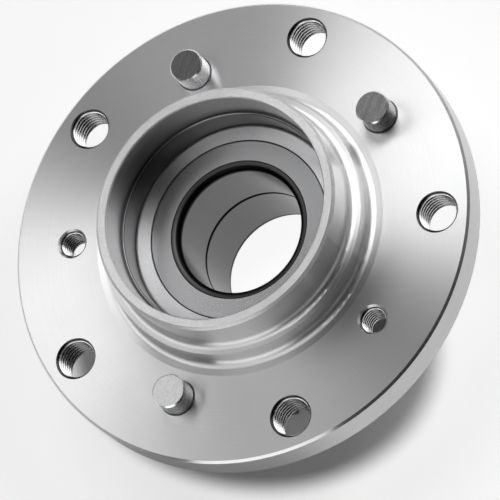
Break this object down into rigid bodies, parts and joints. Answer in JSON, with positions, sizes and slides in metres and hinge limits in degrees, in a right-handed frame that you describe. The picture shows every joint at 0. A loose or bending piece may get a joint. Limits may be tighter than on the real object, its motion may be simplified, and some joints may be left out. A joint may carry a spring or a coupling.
{
  "type": "wheel hub bearing",
  "caption": "Wheel hub with built-in double-row ball bearing: a round flange with threaded bolt holes, locating pins and a stepped centring collar turns on inner rings clamped to a spindle.",
  "frame": {"origin": "centre of the flange face that the brake disc and wheel seat on, on the spindle axis", "axes": "+Z along the spindle axis away from the car, out through the collar; +Y through one wheel bolt hole; +X completes the right-handed set"},
  "size_m": [0.139, 0.139, 0.0619],
  "materials": {
    "hub_steel": "turned and ground bearing steel, bare and lightly oiled",
    "pin_steel": "ground dowel steel",
    "ring_steel": "hardened and fine-ground bearing steel, with dark heat-treated corners",
    "ball_steel": "polished bearing balls",
    "clip_steel": "rolled spring steel",
    "seal_steel": "rolled and pressed sheet steel",
    "sensor_steel": "pressed and sintered steel",
    "seal_rubber": "moulded nitrile rubber, satin",
    "cage_plastic": "glass-filled moulded nylon"
  },
  "bodies": {
    "inner_rings": {"inner_ring_outboard": "ring_steel", "inner_ring_inboard": "ring_steel", "inner_ring_clip": "clip_steel", "flinger_inboard": "seal_steel"},
    "hub": {"hub_flange": "hub_steel", "locating_pin_1": "pin_steel", "locating_pin_2": "pin_steel", "locating_pin_3": "pin_steel", "sensor_ring": "sensor_steel", "seal_case_outboard": "seal_steel", "seal_lip_outboard": "seal_rubber", "seal_case_inboard": "seal_steel", "seal_lip_inboard": "seal_rubber"},
    "ball_set_outboard": {"cage_outboard": "cage_plastic", "ball_outboard_01": "ball_steel", "ball_outboard_02": "ball_steel", "ball_outboard_03": "ball_steel", "ball_outboard_04": "ball_steel", "ball_outboard_05": "ball_steel", "ball_outboard_06": "ball_steel", "ball_outboard_07": "ball_steel", "ball_outboard_08": "ball_steel", "ball_outboard_09": "ball_steel", "ball_outboard_10": "ball_steel", "ball_outboard_11": "ball_steel", "ball_outboard_12": "ball_steel", "ball_outboard_13": "ball_steel", "ball_outboard_14": "ball_steel"},
    "ball_set_inboard": {"cage_inboard": "cage_plastic", "ball_inboard_01": "ball_steel", "ball_inboard_02": "ball_steel", "ball_inboard_03": "ball_steel", "ball_inboard_04": "ball_steel", "ball_inboard_05": "ball_steel", "ball_inboard_06": "ball_steel", "ball_inboard_07": "ball_steel", "ball_inboard_08": "ball_steel", "ball_inboard_09": "ball_steel", "ball_inboard_10": "ball_steel", "ball_inboard_11": "ball_steel", "ball_inboard_12": "ball_steel", "ball_inboard_13": "ball_steel", "ball_inboard_14": "ball_steel"}
  },
  "joints": [
    {"name": "hub_spin", "type": "hinge", "parent": "inner_rings", "child": "hub", "pos_m": [0, 0, 0], "axis": [0, 0, 1], "continuous": true},
    {"name": "ball_set_outboard_orbit", "type": "hinge", "parent": "inner_rings", "child": "ball_set_outboard", "pos_m": [0, 0, -0.0114], "axis": [0, 0, 1], "continuous": true},
    {"name": "ball_set_inboard_orbit", "type": "hinge", "parent": "inner_rings", "child": "ball_set_inboard", "pos_m": [0, 0, -0.0314], "axis": [0, 0, 1], "continuous": true}
  ],
  "couplings": [
    {"joint": "ball_set_outboard_orbit", "follows": "hub_spin", "ratio": 0.57183},
    {"joint": "ball_set_inboard_orbit", "follows": "hub_spin", "ratio": 0.57183}
  ]
}
